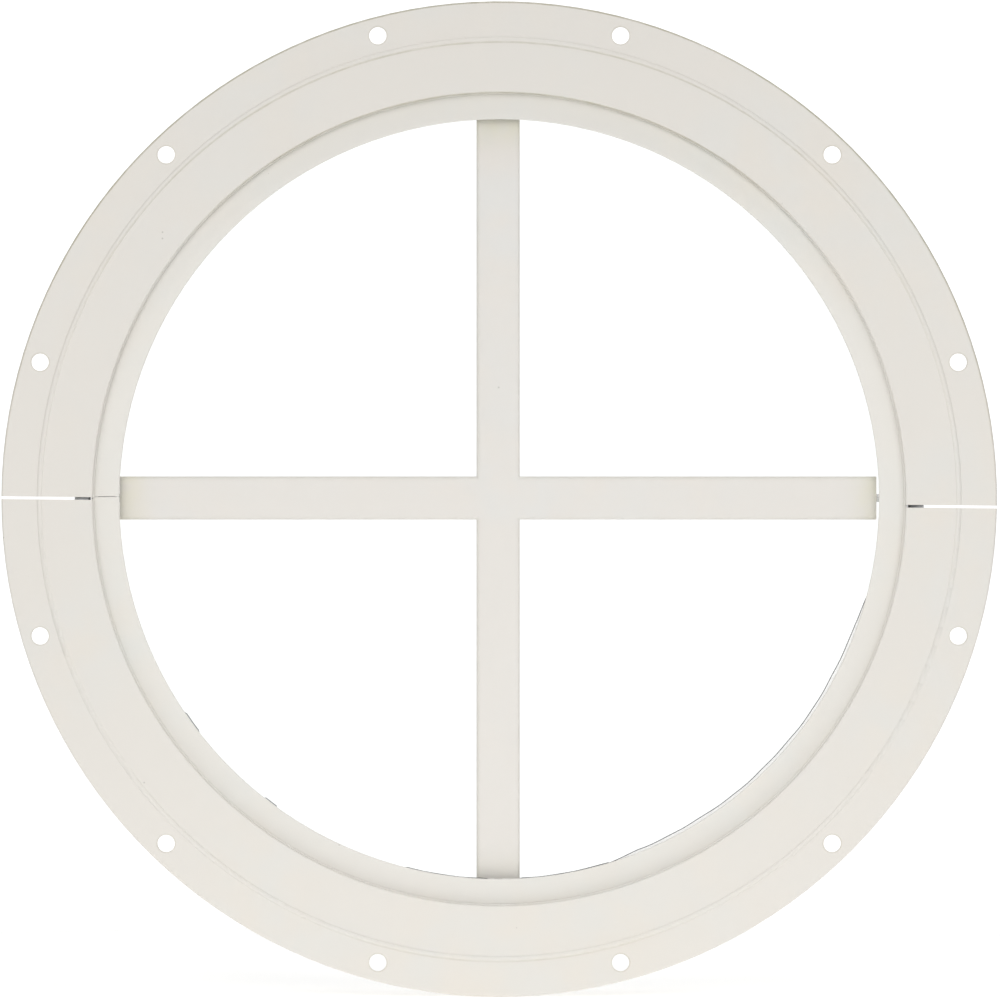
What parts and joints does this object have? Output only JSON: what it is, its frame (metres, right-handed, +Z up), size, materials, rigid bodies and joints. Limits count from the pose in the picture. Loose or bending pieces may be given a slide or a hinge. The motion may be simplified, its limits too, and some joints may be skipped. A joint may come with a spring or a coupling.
{
  "type": "round window",
  "caption": "Round fixed window with a flanged painted metal frame in two halves, a recessed glazing hoop, a glass pane and a cross-shaped grille.",
  "frame": {"origin": "centre of the ring, on the plane of the flange's back face, which lies against the wall", "axes": "+Y through the window towards the room, the outdoor face looks towards -Y, +X to the right seen from outdoors, +Z up"},
  "size_m": [0.3655, 0.0293, 0.3654],
  "materials": {
    "frame_paint": "warm off-white semi-gloss paint",
    "hoop_paint": "warm off-white semi-gloss paint",
    "grille_paint": "warm off-white satin paint",
    "glass": "clear",
    "glazing_tape": "matt foam tape",
    "bead_plastic": "matt vinyl",
    "pin_plastic": "natural nylon",
    "bare_aluminium": "mill finish",
    "screw_steel": "zinc plated"
  },
  "bodies": {
    "root": {"upper_frame_half": "frame_paint", "lower_frame_half": "frame_paint", "glazing_hoop": "hoop_paint", "front_glazing_tape": "glazing_tape", "glass_pane": "glass", "rear_glazing_bead": "bead_plastic", "vertical_grille_bar": "grille_paint", "horizontal_grille_bar": "grille_paint", "grille_pins": "pin_plastic", "left_splice_key": "bare_aluminium", "right_splice_key": "bare_aluminium", "splice_screws": "screw_steel", "hoop_screws": "screw_steel"}
  },
  "joints": []
}
